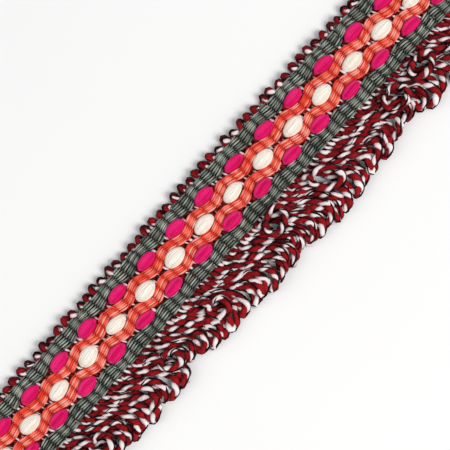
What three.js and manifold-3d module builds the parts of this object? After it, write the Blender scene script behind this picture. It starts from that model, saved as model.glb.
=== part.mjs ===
// A cut length of woven trimming ribbon that lies flat. It has a ribbed band with three rows of raised float
// yarns, small picot turns of the weft yarn along one edge and a fringe of yarn loops along the other.
import * as THREE from "three";
import { mergeVertices } from "three/addons/utils/BufferGeometryUtils.js";
import Module from "manifold-3d";

// Driving sizes in millimetres. X runs along the ribbon, Y across it towards the picots, Z up.
// A place "across" is measured from the centre line and is positive on the picot side.
const RIB_PITCH = 2.435;
const RIB_COUNT = 62;
const RIBS_PER_REPEAT = 4;
const MAGENTA_LINE = 1; // the rib line, counted from the middle, that a pair of magenta floats is centred on
const BOW_RADIUS = 2670; // the ribbon lies in a very slight curve, its ends turned to the fringe side
const GAP = 0.3; // between the band and the strips that carry its edge yarns

// Heights of the band's upper face.
const RIB_TOP = 2.1;
const RIB_LINE_TOP = 1.4;
const VALLEY_DEPTH = 0.3; // how much lower the cloth is where two groups of yarn meet
const WEFT_TOP = 1.5;
const WEFT_LINE_TOP = 1.15;
const FLOAT_TOP = 2.9;
const FLOAT_ROUNDNESS = 0.7;

// Where each group of yarns starts, from the picot edge to the fringe edge. shift is how far that line moves
// across from its place beside an ivory float to its place beside a magenta pair.
const YARN_GROUPS = [
  { yarn: "grey", across: 8, shift: 0, columns: 2 },
  { yarn: "magenta", across: 4.35, shift: 1.15, columns: 4 },
  { yarn: "coral", across: 3.68, shift: -1.05, columns: 2 },
  { yarn: "ivory", across: 1.4, shift: -1.2, columns: 4 },
  { yarn: "coral", across: -1.7, shift: 1.3, columns: 2 },
  { yarn: "magenta", across: -4.06, shift: 1.2, columns: 4 },
  { yarn: "grey", across: -4.72, shift: -0.85, columns: 2 },
];
const PICOT_SIDE_EDGE = YARN_GROUPS[0].across;
const FRINGE_SIDE_EDGE = -8.4;

// The floats that lie on top for two ribs. line is the rib line at the middle of one of them.
const FLOATS = {
  magenta: { line: MAGENTA_LINE, halfLength: 2.6 },
  ivory: { line: MAGENTA_LINE + RIBS_PER_REPEAT / 2, halfLength: 2.75 },
};

// The picot edge: the weft yarn turns from one rib into the next at each rib line.
const PICOT_STRIP = { width: 0.5, height: 1.3 };
const PICOT = { reach: 0.88, halfSpan: 0.62, halfThick: 0.47, height: 0.65, steps: 4 };

// The loop fringe: one loop for each rib, in two layers with a few curled loops on top.
const FRINGE_STRIP = { width: 0.6, height: 1.8 };
const YARN_HALF_WIDTH = 0.48;
const YARN_HALF_HEIGHT = 0.45;
const LOOP_ROOT_HALF = RIB_PITCH / 4; // half the distance between the two legs of a loop at its root
const LOOP_ROOT_HEIGHT = 1.0;
const CURL_ROOT_HEIGHT = 1.3;
const LAYER_HEIGHTS = [YARN_HALF_HEIGHT, 1.6];
const CURL_HEIGHT = 2.75;
const RISE_LENGTH = 1.8; // a loop reaches its layer this far from its root
const BELLY_HALF = 1.15; // half the width of a loop at its widest, to the middle of the yarn
const BELLY_VARIATION = 0.15;
const REACH_VARIATION = 0.6;
const DRIFT_VARIATION = 0.4;

// A loop's outline: out is a share of its reach, drift a share of its sideways lie, and spread goes from the
// root's width, 0, to the belly's, 1. It leaves the edge square, lies over and turns back a little at its tip.
const LOOP_OUTLINE = [
  { out: 0, drift: 0, spread: 0 },
  { out: 0.13, drift: 0.06, spread: 0 },
  { out: 0.34, drift: 0.34, spread: 0.3 },
  { out: 0.56, drift: 0.74, spread: 0.85 },
  { out: 0.76, drift: 1, spread: 1 },
  { out: 0.9, drift: 0.93, spread: 0.85 },
  { out: 1, drift: 0.75, spread: 0 },
];

// How far the fringe reaches from the centre line, and how far its loops lie over, along the ribbon.
const FRINGE_FALL = [
  { along: -76, reach: 20.2, drift: 3 },
  { along: -46, reach: 20.9, drift: 3.2 },
  { along: -39, reach: 19.6, drift: 3.4 },
  { along: -35, reach: 20.8, drift: 3 },
  { along: -30, reach: 18.2, drift: 2.7 },
  { along: -26, reach: 20, drift: 2.8 },
  { along: -10, reach: 20.8, drift: 3.2 },
  { along: 10, reach: 20.9, drift: 3.2 },
  { along: 20, reach: 20.5, drift: 3 },
  { along: 27, reach: 19.4, drift: 3.6 },
  { along: 38, reach: 18.8, drift: 3.7 },
  { along: 50, reach: 20.2, drift: 3.2 },
  { along: 76, reach: 20.2, drift: 3.2 },
];

// The loops that curl over flat on top of the others: the rib each grows from, counted from the middle, the
// centre of its ring, the ring's half sizes to the middle of the yarn, and its turn in degrees.
const CURLS = [
  { rib: -24, along: -53.7, out: 14.9, halfLong: 2.2, halfShort: 1.9, turn: -20 },
  { rib: -14, along: -29.6, out: 14.4, halfLong: 2.4, halfShort: 1.8, turn: -25 },
  { rib: -7, along: -13.9, out: 14.6, halfLong: 2.3, halfShort: 2, turn: -35 },
  { rib: 2, along: 9, out: 11.1, halfLong: 3.1, halfShort: 1.9, turn: 14 },
  { rib: 8, along: 23.5, out: 13, halfLong: 2.8, halfShort: 2.5, turn: -10 },
  { rib: 18, along: 47, out: 12.6, halfLong: 3, halfShort: 2.2, turn: 0 },
  { rib: 22, along: 56.2, out: 11.9, halfLong: 3.2, halfShort: 1.9, turn: 8 },
];
const RING_STEPS = 9;
const RING_MOUTH = 0.45; // half the angle, in radians, that a ring stays open towards its root

const COLOURS = {
  band: { color: 0x7d857c, roughness: 0.85, metalness: 0 },
  edgeYarn: { color: 0xa02030, roughness: 0.9, metalness: 0 },
};

const wasm = await Module();
wasm.setup();

// A repeatable number from -1 to 1 for the given piece and purpose.
function wobble(index, purpose) {
  const wave = Math.sin(index * 127.1 + purpose * 311.7) * 43758.5453;
  return 2 * (wave - Math.floor(wave)) - 1;
}

// A point of the straight ribbon, moved to where it lies on the bowed one.
function lay(along, across, height) {
  const angle = along / BOW_RADIUS;
  const radius = BOW_RADIUS + across;
  return new THREE.Vector3(radius * Math.sin(angle), radius * Math.cos(angle) - BOW_RADIUS, height);
}

function geometryOf(points, triangles) {
  const flat = points.flatMap((point) => [point.x, point.y, point.z]);
  return new THREE.BufferGeometry()
    .setAttribute("position", new THREE.Float32BufferAttribute(flat, 3))
    .setIndex(triangles);
}

function solidOf(geometry) {
  const merged = mergeVertices(geometry);
  return new wasm.Manifold(
    new wasm.Mesh({
      numProp: 3,
      vertProperties: merged.attributes.position.array,
      triVerts: new Uint32Array(merged.index.array),
    }),
  );
}

function joined(geometries) {
  const whole = geometries.map(solidOf).reduce((sum, solid) => sum.add(solid));
  const mesh = whole.getMesh();
  return new THREE.BufferGeometry()
    .setAttribute("position", new THREE.BufferAttribute(new Float32Array(mesh.vertProperties), 3))
    .setIndex(new THREE.BufferAttribute(new Uint32Array(mesh.triVerts), 1));
}

// A closed bar of rectangular section along a path. Its sides stay upright, so it rests level where the path
// is level.
function bar(path, halfWidth, halfHeight) {
  const corners = [
    { side: 1, up: -1 },
    { side: 1, up: 1 },
    { side: -1, up: 1 },
    { side: -1, up: -1 },
  ];
  const points = [];
  path.forEach((centre, i) => {
    const before = path[Math.max(i - 1, 0)];
    const after = path[Math.min(i + 1, path.length - 1)];
    const ahead = after.clone().sub(before).normalize();
    const side = new THREE.Vector3(-ahead.y, ahead.x, 0).normalize();
    for (const corner of corners) {
      const offset = side.clone().multiplyScalar(corner.side * halfWidth);
      points.push(centre.clone().add(offset).setZ(centre.z + corner.up * halfHeight));
    }
  });
  const triangles = [0, 2, 1, 0, 3, 2];
  for (let i = 0; i + 1 < path.length; i++) {
    for (let k = 0; k < 4; k++) {
      const a = 4 * i + k;
      const b = 4 * i + ((k + 1) % 4);
      triangles.push(a, b, b + 4, a, b + 4, a + 4);
    }
  }
  const last = 4 * (path.length - 1);
  triangles.push(last, last + 1, last + 2, last, last + 2, last + 3);
  return geometryOf(points, triangles);
}

// 1 beside a pair of magenta floats, 0 beside an ivory one.
function besideMagenta(along) {
  const repeats = (along / RIB_PITCH - MAGENTA_LINE) / RIBS_PER_REPEAT;
  return 0.5 + 0.5 * Math.cos(2 * Math.PI * repeats);
}

// How fully a float stands up at this place along the ribbon: 1 at its middle, 0 past its ends.
function floatLift(float, along) {
  const repeats = (along / RIB_PITCH - float.line) / RIBS_PER_REPEAT;
  const distance = (repeats - Math.round(repeats)) * RIBS_PER_REPEAT * RIB_PITCH;
  return Math.sqrt(Math.max(0, 1 - (distance / float.halfLength) ** 2));
}

function bandHeight(yarn, along, share) {
  const crown = Math.abs(Math.sin((Math.PI * along) / RIB_PITCH));
  const cloth = RIB_LINE_TOP + (RIB_TOP - RIB_LINE_TOP) * crown;
  if (share === 0) return cloth - VALLEY_DEPTH;
  const float = FLOATS[yarn];
  if (!float) return cloth;
  const weft = WEFT_LINE_TOP + (WEFT_TOP - WEFT_LINE_TOP) * crown;
  const section = Math.sin(Math.PI * share) ** FLOAT_ROUNDNESS;
  return weft + (FLOAT_TOP - weft) * section * floatLift(float, along);
}

// The band's upper face at one place along it, as points from the picot edge to the fringe edge.
function bandSection(along) {
  const lines = YARN_GROUPS.map((group) => group.across + group.shift * besideMagenta(along));
  lines.push(FRINGE_SIDE_EDGE);
  const points = [];
  YARN_GROUPS.forEach((group, i) => {
    for (let k = 0; k < group.columns; k++) {
      const share = k / group.columns;
      const across = lines[i] + (lines[i + 1] - lines[i]) * share;
      points.push(lay(along, across, bandHeight(group.yarn, along, share)));
    }
  });
  points.push(lay(along, FRINGE_SIDE_EDGE, bandHeight("grey", along, 0)));
  return points;
}

// The flat end where the ribbon was cut, as triangles between the points of its section.
function cutFace(section, corners, indices, facing) {
  const outline = [...section, ...corners].map((point) => new THREE.Vector2(point.y, point.z));
  return THREE.ShapeUtils.triangulateShape(outline, []).flatMap(([a, b, c]) => {
    const area = new THREE.Vector2().subVectors(outline[b], outline[a]);
    const turned = area.cross(new THREE.Vector2().subVectors(outline[c], outline[a])) * facing < 0;
    const ordered = turned ? [a, c, b] : [a, b, c];
    return ordered.map((k) => indices[k]);
  });
}

function wovenBand() {
  const stations = 2 * RIB_COUNT;
  const start = (-RIB_COUNT * RIB_PITCH) / 2;
  const points = [];
  const sections = [];
  for (let s = 0; s <= stations; s++) {
    const along = start + (s * RIB_PITCH) / 2;
    const top = bandSection(along);
    const corners = [lay(along, FRINGE_SIDE_EDGE, 0), lay(along, PICOT_SIDE_EDGE, 0)];
    sections.push({ top, corners });
    points.push(...top, ...corners);
  }
  const wide = sections[0].top.length;
  const row = wide + 2;
  const triangles = [];
  for (let s = 0; s < stations; s++) {
    for (let k = 0; k < row; k++) {
      const a = s * row + k;
      const b = s * row + ((k + 1) % row);
      triangles.push(a, b, b + row, a, b + row, a + row);
    }
  }
  const first = Array.from({ length: row }, (_, k) => k);
  const last = first.map((k) => stations * row + k);
  triangles.push(...cutFace(sections[0].top, sections[0].corners, first, -1));
  triangles.push(...cutFace(sections[stations].top, sections[stations].corners, last, 1));
  return geometryOf(points, triangles);
}

// A narrow strip along the whole edge, with its near side at the given place across the ribbon.
function edgeStrip(across, width, height) {
  const path = [];
  for (let rib = 0; rib <= RIB_COUNT; rib += 2) {
    path.push(lay((rib - RIB_COUNT / 2) * RIB_PITCH, across, height / 2));
  }
  return bar(path, width / 2, height / 2);
}

function ribCentres() {
  return Array.from({ length: RIB_COUNT }, (_, i) => i - RIB_COUNT / 2);
}

function ribMiddle(rib) {
  return (rib + 0.5) * RIB_PITCH;
}

function picotEdge() {
  const root = PICOT_SIDE_EDGE + GAP + PICOT_STRIP.width / 2;
  const lines = ribCentres().slice(1);
  const turns = lines.map((line) => {
    const path = [];
    for (let i = 0; i <= PICOT.steps; i++) {
      const angle = (Math.PI * i) / PICOT.steps;
      const along = line * RIB_PITCH + PICOT.halfSpan * Math.cos(angle);
      path.push(lay(along, root + PICOT.reach * Math.sin(angle), PICOT.height));
    }
    return bar(path, PICOT.halfThick, PICOT.halfThick);
  });
  return joined([edgeStrip(root, PICOT_STRIP.width, PICOT_STRIP.height), ...turns]);
}

// The row of a table that runs along the ribbon, mixed for the place asked for.
function fallAt(along) {
  const next = FRINGE_FALL.findIndex((row) => row.along >= along);
  const a = FRINGE_FALL[next - 1];
  const b = FRINGE_FALL[next];
  const share = (along - a.along) / (b.along - a.along);
  return {
    reach: a.reach + (b.reach - a.reach) * share,
    drift: a.drift + (b.drift - a.drift) * share,
  };
}

function smooth(share) {
  const t = Math.min(Math.max(share, 0), 1);
  return t * t * (3 - 2 * t);
}

// A plain loop as points of the flat ribbon: down one leg, round its tip and back up the other.
function loopPath(rib, root) {
  const fall = fallAt(ribMiddle(rib));
  const reach = fall.reach - YARN_HALF_WIDTH - root + REACH_VARIATION * wobble(rib, 1);
  const drift = fall.drift + DRIFT_VARIATION * wobble(rib, 2);
  const belly = BELLY_HALF + BELLY_VARIATION * wobble(rib, 3);
  const layer = LAYER_HEIGHTS[Math.abs(rib) % LAYER_HEIGHTS.length];
  const leg = (side) => (row) => {
    const out = row.out * reach;
    const half = LOOP_ROOT_HALF + (belly - LOOP_ROOT_HALF) * row.spread;
    const along = ribMiddle(rib) + drift * row.drift + side * half;
    const height = LOOP_ROOT_HEIGHT + (layer - LOOP_ROOT_HEIGHT) * smooth(out / RISE_LENGTH);
    return new THREE.Vector3(along, -root - out, height);
  };
  return [...LOOP_OUTLINE.map(leg(-1)), ...[...LOOP_OUTLINE].reverse().map(leg(1))];
}

// A loop that curls over on top: up from its root, round its ring and back.
function curlPath(curl, root) {
  const middle = ribMiddle(curl.rib);
  const turn = THREE.MathUtils.degToRad(curl.turn);
  const towardsRoot = Math.atan2(curl.out - root, middle - curl.along) - turn;
  const ring = [];
  for (let i = 0; i <= RING_STEPS; i++) {
    const angle = towardsRoot + RING_MOUTH + (2 * Math.PI - 2 * RING_MOUTH) * (i / RING_STEPS);
    const long = curl.halfLong * Math.cos(angle);
    const short = curl.halfShort * Math.sin(angle);
    const along = curl.along + long * Math.cos(turn) - short * Math.sin(turn);
    const across = -curl.out + long * Math.sin(turn) + short * Math.cos(turn);
    ring.push(new THREE.Vector3(along, across, CURL_HEIGHT));
  }
  const rootPoint = (side, out, height) =>
    new THREE.Vector3(middle + side * LOOP_ROOT_HALF, -root - out, height);
  const firstSide = ring[0].x < ring[RING_STEPS].x ? -1 : 1;
  return [
    rootPoint(firstSide, 0, CURL_ROOT_HEIGHT),
    rootPoint(firstSide, RISE_LENGTH / 2, CURL_HEIGHT),
    ...ring,
    rootPoint(-firstSide, RISE_LENGTH / 2, CURL_HEIGHT),
    rootPoint(-firstSide, 0, CURL_ROOT_HEIGHT),
  ];
}

function loopFringe() {
  const root = -FRINGE_SIDE_EDGE + GAP + FRINGE_STRIP.width / 2;
  const loops = ribCentres().map((rib) => {
    const curl = CURLS.find((row) => row.rib === rib);
    const path = curl ? curlPath(curl, root) : loopPath(rib, root);
    const laid = path.map((point) => lay(point.x, point.y, point.z));
    return bar(laid, YARN_HALF_WIDTH, YARN_HALF_HEIGHT);
  });
  return joined([edgeStrip(-root, FRINGE_STRIP.width, FRINGE_STRIP.height), ...loops]);
}

function part(name, geometry, look) {
  const mesh = new THREE.Mesh(geometry, new THREE.MeshStandardMaterial(look));
  mesh.name = name;
  return mesh;
}

const ribbon = new THREE.Group();
ribbon.add(
  part("woven_band", wovenBand(), COLOURS.band),
  part("picot_edge", picotEdge(), COLOURS.edgeYarn),
  part("loop_fringe", loopFringe(), COLOURS.edgeYarn),
);

// The origin is under the middle of the whole ribbon, on the surface that it lies on.
const box = new THREE.Box3().setFromObject(ribbon);
const middle = box.getCenter(new THREE.Vector3());
ribbon.position.set(-middle.x, -middle.y, -box.min.z);

export default ribbon;
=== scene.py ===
import math

import bpy
import numpy as np
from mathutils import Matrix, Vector


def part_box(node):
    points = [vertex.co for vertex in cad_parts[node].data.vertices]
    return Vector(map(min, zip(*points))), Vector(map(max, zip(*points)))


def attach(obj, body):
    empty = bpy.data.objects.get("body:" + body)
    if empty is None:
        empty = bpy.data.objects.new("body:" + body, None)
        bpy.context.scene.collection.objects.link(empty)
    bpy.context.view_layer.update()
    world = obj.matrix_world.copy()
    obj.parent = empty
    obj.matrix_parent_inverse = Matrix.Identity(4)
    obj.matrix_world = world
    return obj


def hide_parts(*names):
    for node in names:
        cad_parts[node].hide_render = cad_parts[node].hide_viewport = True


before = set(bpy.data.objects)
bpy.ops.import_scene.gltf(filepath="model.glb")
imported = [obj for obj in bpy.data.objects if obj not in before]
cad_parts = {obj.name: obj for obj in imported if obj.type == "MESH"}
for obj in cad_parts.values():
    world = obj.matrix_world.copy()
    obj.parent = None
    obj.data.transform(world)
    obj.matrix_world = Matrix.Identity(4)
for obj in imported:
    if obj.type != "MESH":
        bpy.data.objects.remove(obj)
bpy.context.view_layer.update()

# Sizes in millimetres, the same as the solids'. A point of the straight ribbon is (along, across, height):
# along it, across it from the centre line and positive on the picot side, and up from what it lies on.
MM = 0.001
UP = np.array([0.0, 0.0, 1.0])
RIB_PITCH = 2.435
RIB_COUNT = 62
RIBS_PER_REPEAT = 4
LENGTH = RIB_PITCH * RIB_COUNT
MAGENTA_LINE = 1
IVORY_LINE = MAGENTA_LINE + RIBS_PER_REPEAT // 2
BOW_RADIUS = 2670.0
PICOT_SIDE_EDGE = 8.0
FRINGE_SIDE_EDGE = -8.4

# Where each group of yarns starts across the ribbon, and how far that line moves beside a magenta pair. The
# coral bands reach a little nearer to the grey ones than in the solids.
YARN_GROUPS = [
    {"yarn": "grey", "across": PICOT_SIDE_EDGE, "shift": 0.0},
    {"yarn": "magenta", "across": 4.23, "shift": 1.27},
    {"yarn": "coral", "across": 3.84, "shift": -1.21},
    {"yarn": "ivory", "across": 1.4, "shift": -1.2},
    {"yarn": "coral", "across": -1.7, "shift": 1.3},
    {"yarn": "magenta", "across": -4.2, "shift": 1.34},
    {"yarn": "grey", "across": -4.61, "shift": -0.96},
    {"yarn": "edge", "across": FRINGE_SIDE_EDGE, "shift": 0.0},
]

# The warp: threads in each band, half of them on top at any rib. Squeeze is the share of its width that a
# thread keeps where it dips between two ribs.
WARP = {
    "grey": {"threads": 12, "half_wide": 0.205, "half_high": 0.2, "squeeze": 0.5},
    "coral": {"threads": 10, "half_wide": 0.235, "half_high": 0.19, "squeeze": 0.55},
}
WARP_SIDES = 6
WARP_STEPS_PER_RIB = 6
CLOTH_MIDDLE = 1.05
WARP_LIFT = 0.74
WARP_CROWN = 0.08
WARP_STEEPNESS = 1.2

# How much the warp threads differ: lean, sway, rise and jump in millimetres, girth as a share, the lengths
# over which they lean and swell, and their tone by the thread and by the rib. VALLEY_SHADE is painted
# shade, darker in the valleys between the ribs.
WARP_STRAY = {"lean": 0.05, "sway": 0.07, "rise": 0.025, "jump": 0.09, "girth": 0.1}
WARP_WAVES = {"lean": 7, "swell": 3.1}
WARP_TONES = {"thread": 0.5, "rib": 0.7}
VALLEY_SHADE = 1.5

# The bulky yarns that float over two ribs and pass under the next two, and the length over which they dip.
FLOATS = {
    "magenta": {"line": MAGENTA_LINE, "half_long": 2.46, "half_wide": 1.5, "half_high": 0.76, "round": 0.56},
    "ivory": {"line": IVORY_LINE, "half_long": 2.95, "half_wide": 1.74, "half_high": 0.82, "round": 1.0},
}
FLOAT_UNDER = {"height": 0.34, "half_wide": 0.42, "half_high": 0.28}
FLOAT_OVER_HEIGHT = 2.05
FLOAT_DIP = 0.33

# Where a float yarn has its rings, in ribs from a float's middle.
FLOAT_STATIONS = [-1.5, -1.18, -1.06, -0.94, -0.75, -0.45, -0.15]
FLOAT_STATIONS += [0.15, 0.45, 0.75, 0.94, 1.06, 1.18, 1.5, 2.0]
FLOAT_END_ROOM = 0.05

# How much the floats differ: along and across in millimetres, slant as a slope and size as a share.
FLOAT_STRAY = {"along": 0.22, "across": 0.1, "slant": 0.11, "size": 0.1}
FLOAT_WAVER = 0.08
FLOAT_WAVE = 9

# A float's strands lie in a ring round a plain core. The ring and the core are shares of the whole bundle.
FLOAT_STRANDS = 20
STRAND_RING = {"wide": 0.87, "high": 0.84}
STRAND_THICK = 0.62
STRAND_FLAT = 0.8
STRAND_SIDES = 5
STRAND_WAVER = 0.1
STRAND_WAVE = 4.5
STRAND_LOWEST = 0.14
CORE = {"wide": 0.88, "high": 0.86, "sides": 14, "lowest": 0.36}
# Painted shade on the floats: darker where they are less full than FLOAT_FULL, towards their ends where they
# dip into the cloth, and darker on their sides.
FLOAT_FULL = 0.7
FLOAT_END_SHADE = 2.2
FLOAT_EDGE_SHADE = 0.9

# The marled weft: two thick plies and a thin thread, twisted together. Half is a ply's half thickness, orbit
# its distance from the yarn's middle, turn its start in half turns, loose how far it lets go of the twist at
# the loops' tips, and slubs how uneven it is.
YARN_RADIUS = 0.76
PLIES = {
    "red": {"half": 0.58, "orbit": 0.24, "turn": 0.0, "loose": 0.0, "sides": 8, "slubs": 0.14},
    "white": {"half": 0.43, "orbit": 0.38, "turn": 1.0, "loose": 0.0, "sides": 8, "slubs": 0.26},
    "black": {"half": 0.165, "orbit": 0.73, "turn": -0.8, "loose": 0.97, "sides": 5, "slubs": 0.25},
}
PLY_FLAT = 0.97
PLY_BUMPS = 0.13
BUMP_WAVE = 0.6
SLUB_WAVE = 3.4

# One turn of the twist in millimetres, and how far the twist and the thin thread wander, in radians.
TWIST = 4.2
TWIST_WANDER = 3.6
TWIST_WAVE = 13
THREAD_WANDER = 2.2
THREAD_WAVE = 7

# Where the thin thread lets go of the twist and lies on the outside of the loops' tips.
LOOSE_FROM = 12.5
LOOSE_OVER = 2.5
LOOSE_CALM = 0.7
OUTSIDE_FROM = 14
OUTSIDE_ROLL = 0.8

# The plies' tone: a slow and a quick change along them. Then painted shade, darker on the yarn's flanks,
# in hollows and inside the band, and painted light, lighter at the loops' tips.
PLY_TONE = 0.4
SLOW_TONE = {"share": 0.6, "wave": 5}
QUICK_TONE = {"share": 0.4, "wave": 1.7}
FLANK_SHADE = 1.6
FLANK_LEVEL = 0.75
FLANK_MOST = 0.2
HOLLOW_SHADE = 2.0
HOLLOW_SLACK = 0.1
BAND_SHADE = 0.2
BAND_INSET = 0.3
BAND_FADE = 0.4
TIP_LIGHT = 0.5
TIP_LIGHT_FROM = 16
TIP_LIGHT_OVER = 3

# The map of the yarns' tops, seen from above, that tells where the hollows for the painted shade are: its
# cells, how many of them each is evened out over, and how far it reaches.
MAP_CELL = 0.15
MAP_BLUR = 5
MAP_MARGIN = 6
MAP_OUT = 24
MAP_WIDE = 36

# The weft's passes across the band, two in each rib, pressed thin between the warp threads. They dip under a
# float and rise over a float yarn that passes under.
PICK_OFFSET = RIB_PITCH / 4
PICK_STEP = 0.55
PICK_SIZE = 0.6
PICK_DIP = 0.32
PICK_RISE = 0.08
PICK_DIP_HALF = 1.1
PICK_WAVER = 0.06
PICK_WAVE = 6

# The yarn's way from thin to full where it leaves the band, and its swelling towards the loops' tips.
SWELL_EASE = {"picots": 0.5, "fringe": 0.6}
TIP_SWELL = 0.22
TIP_SWELL_FROM = 12
TIP_SWELL_OVER = 5

# The picots: as the yarn turns, it rolls from its red side to its white one, PICOT_ROLL radians each way from
# a middle that PICOT_RED moves towards the red.
PICOT_REACH = 1.05
PICOT_SIZE = 1.1
PICOT_PINCH = 0.6
PICOT_LIFT = 0.1
PICOT_ROLL = 1.35
PICOT_RED = 0.5
PICOT_STEPS = 9
PICOT_START = 0.2
PICOT_STRAY = {"reach": 0.36, "along": 0.46, "height": 0.25, "tilt": 0.45, "roll": 0.9}

# How far the fringe reaches from the centre line, and how far its loops lie over along the ribbon.
FRINGE_FALL = {
    "along": (-76, -46, -39, -35, -30, -26, -10, 10, 20, 27, 38, 50),
    "reach": (20.2, 20.9, 19.6, 20.8, 18.2, 20.0, 20.8, 20.9, 20.5, 19.4, 18.8, 20.2),
    "drift": (4.0, 4.2, 4.2, 4.0, 3.6, 3.4, 4.4, 4.4, 3.8, 4.8, 5.0, 4.0),
}

# A loop's outline: out is a share of its reach, drift a share of its sideways lie, spread goes from the
# root's width, 0, to the belly's, 1.
LOOP_OUTLINE = {
    "out": (0.0, 0.13, 0.34, 0.56, 0.76, 0.92, 1.0),
    "drift": (0.0, 0.06, 0.38, 0.82, 1.0, 0.88, 0.66),
    "spread": (0.0, 0.0, 0.2, 0.7, 1.0, 0.9, 0.0),
}
LOOP_POINTS = 44
CURVE_STEPS = 12
BELLY_HALF = 1.0

# How far a loop lies over the cloth's middle before it settles, how much further its upper leg does, and how
# often the second leg is the upper one, from -1 for never to 1 for always. It has risen to its height at one
# part in LOOP_RISE of its reach, and wavers fully from outline point WAVER_FROM on.
LOOP_LIFT = 0.8
LEG_LIFT = 1.0
UPPER_LEG = 0.7
LOOP_RISE = 3
WAVER_FROM = 3

# How much the loops differ, in millimetres: each by itself, and in tufts that change over so many ribs.
LOOP_STRAY = {"reach": 0.85, "lie": 0.75, "belly": 0.4, "waver": 0.4, "height": 0.6}
TUFT_REACH = {"by": 0.7, "ribs": 3.1}
TUFT_LIE = {"by": 0.9, "ribs": 2.6}

# How far loops spread into the room that a curled one leaves, and over how many ribs that fades.
GAP_SPREAD = 1.0
GAP_FADE = 1.6

# Loops that curl over flat on top: rib they grow from, ring centre, ring half sizes and turn in degrees.
CURLS = [
    {"rib": -24, "along": -53.7, "out": 14.9, "half_long": 2.2, "half_short": 1.9, "turn": -20},
    {"rib": -14, "along": -29.6, "out": 14.4, "half_long": 2.4, "half_short": 1.8, "turn": -25},
    {"rib": -7, "along": -13.9, "out": 14.6, "half_long": 2.3, "half_short": 2.0, "turn": -35},
    {"rib": 2, "along": 9.0, "out": 11.2, "half_long": 3.2, "half_short": 2.0, "turn": 27},
    {"rib": 8, "along": 23.5, "out": 13.3, "half_long": 3.6, "half_short": 2.2, "turn": -42},
    {"rib": 18, "along": 47.0, "out": 12.6, "half_long": 3.0, "half_short": 2.3, "turn": 0},
    {"rib": 22, "along": 56.2, "out": 11.9, "half_long": 3.2, "half_short": 1.9, "turn": 8},
]

# A curled loop has risen to height ROOT_RISE where it is ROOT_OUT from the edge. Its ring leaves a mouth
# open, RING_MOUTH radians to each side. It starts at RING_HEIGHT and stays at least RING_LIFT higher than
# others may sink. RING_EASE and RING_FROM say how fast and from where along the loop that begins.
ROOT_OUT = 1
ROOT_RISE = 2.4
RING_POINTS = 18
RING_MOUTH = 0.1
RING_HEIGHT = 4.6
RING_LIFT = 2.3
RING_EASE = 3
RING_FROM = 0.6

# How the loops settle on each other. In each step they are pushed apart where they lie too near (along,
# across and up), sink a little, and get their lengths and forms back. The last two numbers say how firmly the
# curled loops and the others keep their places.
SETTLE_STEPS = 140
SETTLE_SINK = 0.04
YARNS_APART = 1.3
PUSH_SHARE = 0.35
PUSH_MOST = 0.4
PUSH_BY_AXIS = (0.12, 0.12, 1.0)
FORM_SHARE = 0.22
BEND_SPANS = (1, 3)
HOLD_CURLED = 0.5
HOLD_PLAIN = 0.02

# Near pairs of points: the steps between two looks for them, the room to spare, how many loops apart they may
# be, and more than how many points apart on one yarn.
PAIRS_EVERY = 6
PAIRS_MARGIN = 0.35
PAIRS_LOOPS = 9
PAIRS_POINTS = 4

# The lowest that a loop's middle may lie, as a share of the yarn's half thickness, how much higher over the
# band, over how far that begins, and how many points at its root are free of it.
FLOOR_SHARE = 0.92
BAND_CLEAR = 2.2
BAND_EASE = 0.9
ROOT_POINTS = 3

# The cloth's inside: how far it stays within the woven edges, its half thickness at the floats, how much more
# that is in the warp's valleys, and how its UV map is stretched.
GROUND_INSET = 0.25
GROUND_COLUMNS = 60
GROUND_THIN = 0.06
GROUND_VALLEY = 0.08
GROUND_UV = [0.2, 1.0]

# Each yarn's dark, middle and light shade. The tone and the painted shading mix them, so the dark shades
# also serve as painted shade and the light ones as painted light.
YARN_SHADES = {
    "grey warp": ((52, 60, 52), (132, 140, 128), (190, 196, 186)),
    "coral warp": ((240, 62, 34), (255, 126, 104), (255, 182, 162)),
    "magenta float": ((172, 0, 48), (238, 10, 112), (250, 60, 148)),
    "ivory float": ((240, 222, 202), (255, 250, 238), (255, 255, 252)),
    "red ply": ((26, 2, 5), (120, 12, 19), (176, 26, 34)),
    "white ply": ((84, 30, 38), (242, 224, 227), (255, 253, 252)),
    "black thread": ((5, 0, 2), (20, 4, 7), (48, 18, 22)),
    # The cloth inside: near black under the grey bands and dark red under the floats, partly the darker yarn
    # beneath and partly painted shade in the gaps between threads; coral under the coral bands.
    "cloth inside": ((26, 28, 25), (58, 6, 14), (186, 44, 26)),
}

# Each yarn's fibres: their turns a millimetre, fineness and stretch, then how strong their streaks, the
# threads' tone with its painted shade and light, and the sheen are.
YARN_FIBRES = {
    "grey warp": (0.9, 1.6, 0.9, 1.6, 0.4, 0.25),
    "coral warp": (0.9, 1.5, 0.7, 1.6, 0.6, 0.25),
    "magenta float": (0.05, 2.6, 0.25, 1.6, 0.27, 0.15),
    "ivory float": (0.05, 2.6, 0.25, 1.6, 0.25, 0.25),
    "red ply": (0.35, 3.4, 1.5, 1.9, 0.5, 0.05),
    "white ply": (0.35, 3.2, 1.4, 1.4, 0.46, 0.25),
    "black thread": (0.9, 2.0, 0.9, 0.7, 0.3, 0.02),
    "cloth inside": (0.2, 3.0, 1.4, 0.4, 0.5, 0.25),
}
YARN_FINISH = {"Roughness": 0.8, "Specular IOR Level": 0.08, "Sheen Roughness": 0.5}
YARN_RELIEF = {"Strength": 0.3, "Distance": 0.00012}

# The camera, over the photograph's place on the ribbon.
VIEW_CENTRE = (0.676, -3.651, 2.0)
VIEW_TURN = math.radians(48.25)
VIEW_WIDTH = 99.49
LENS = 100.0
SENSOR = 36.0

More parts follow.
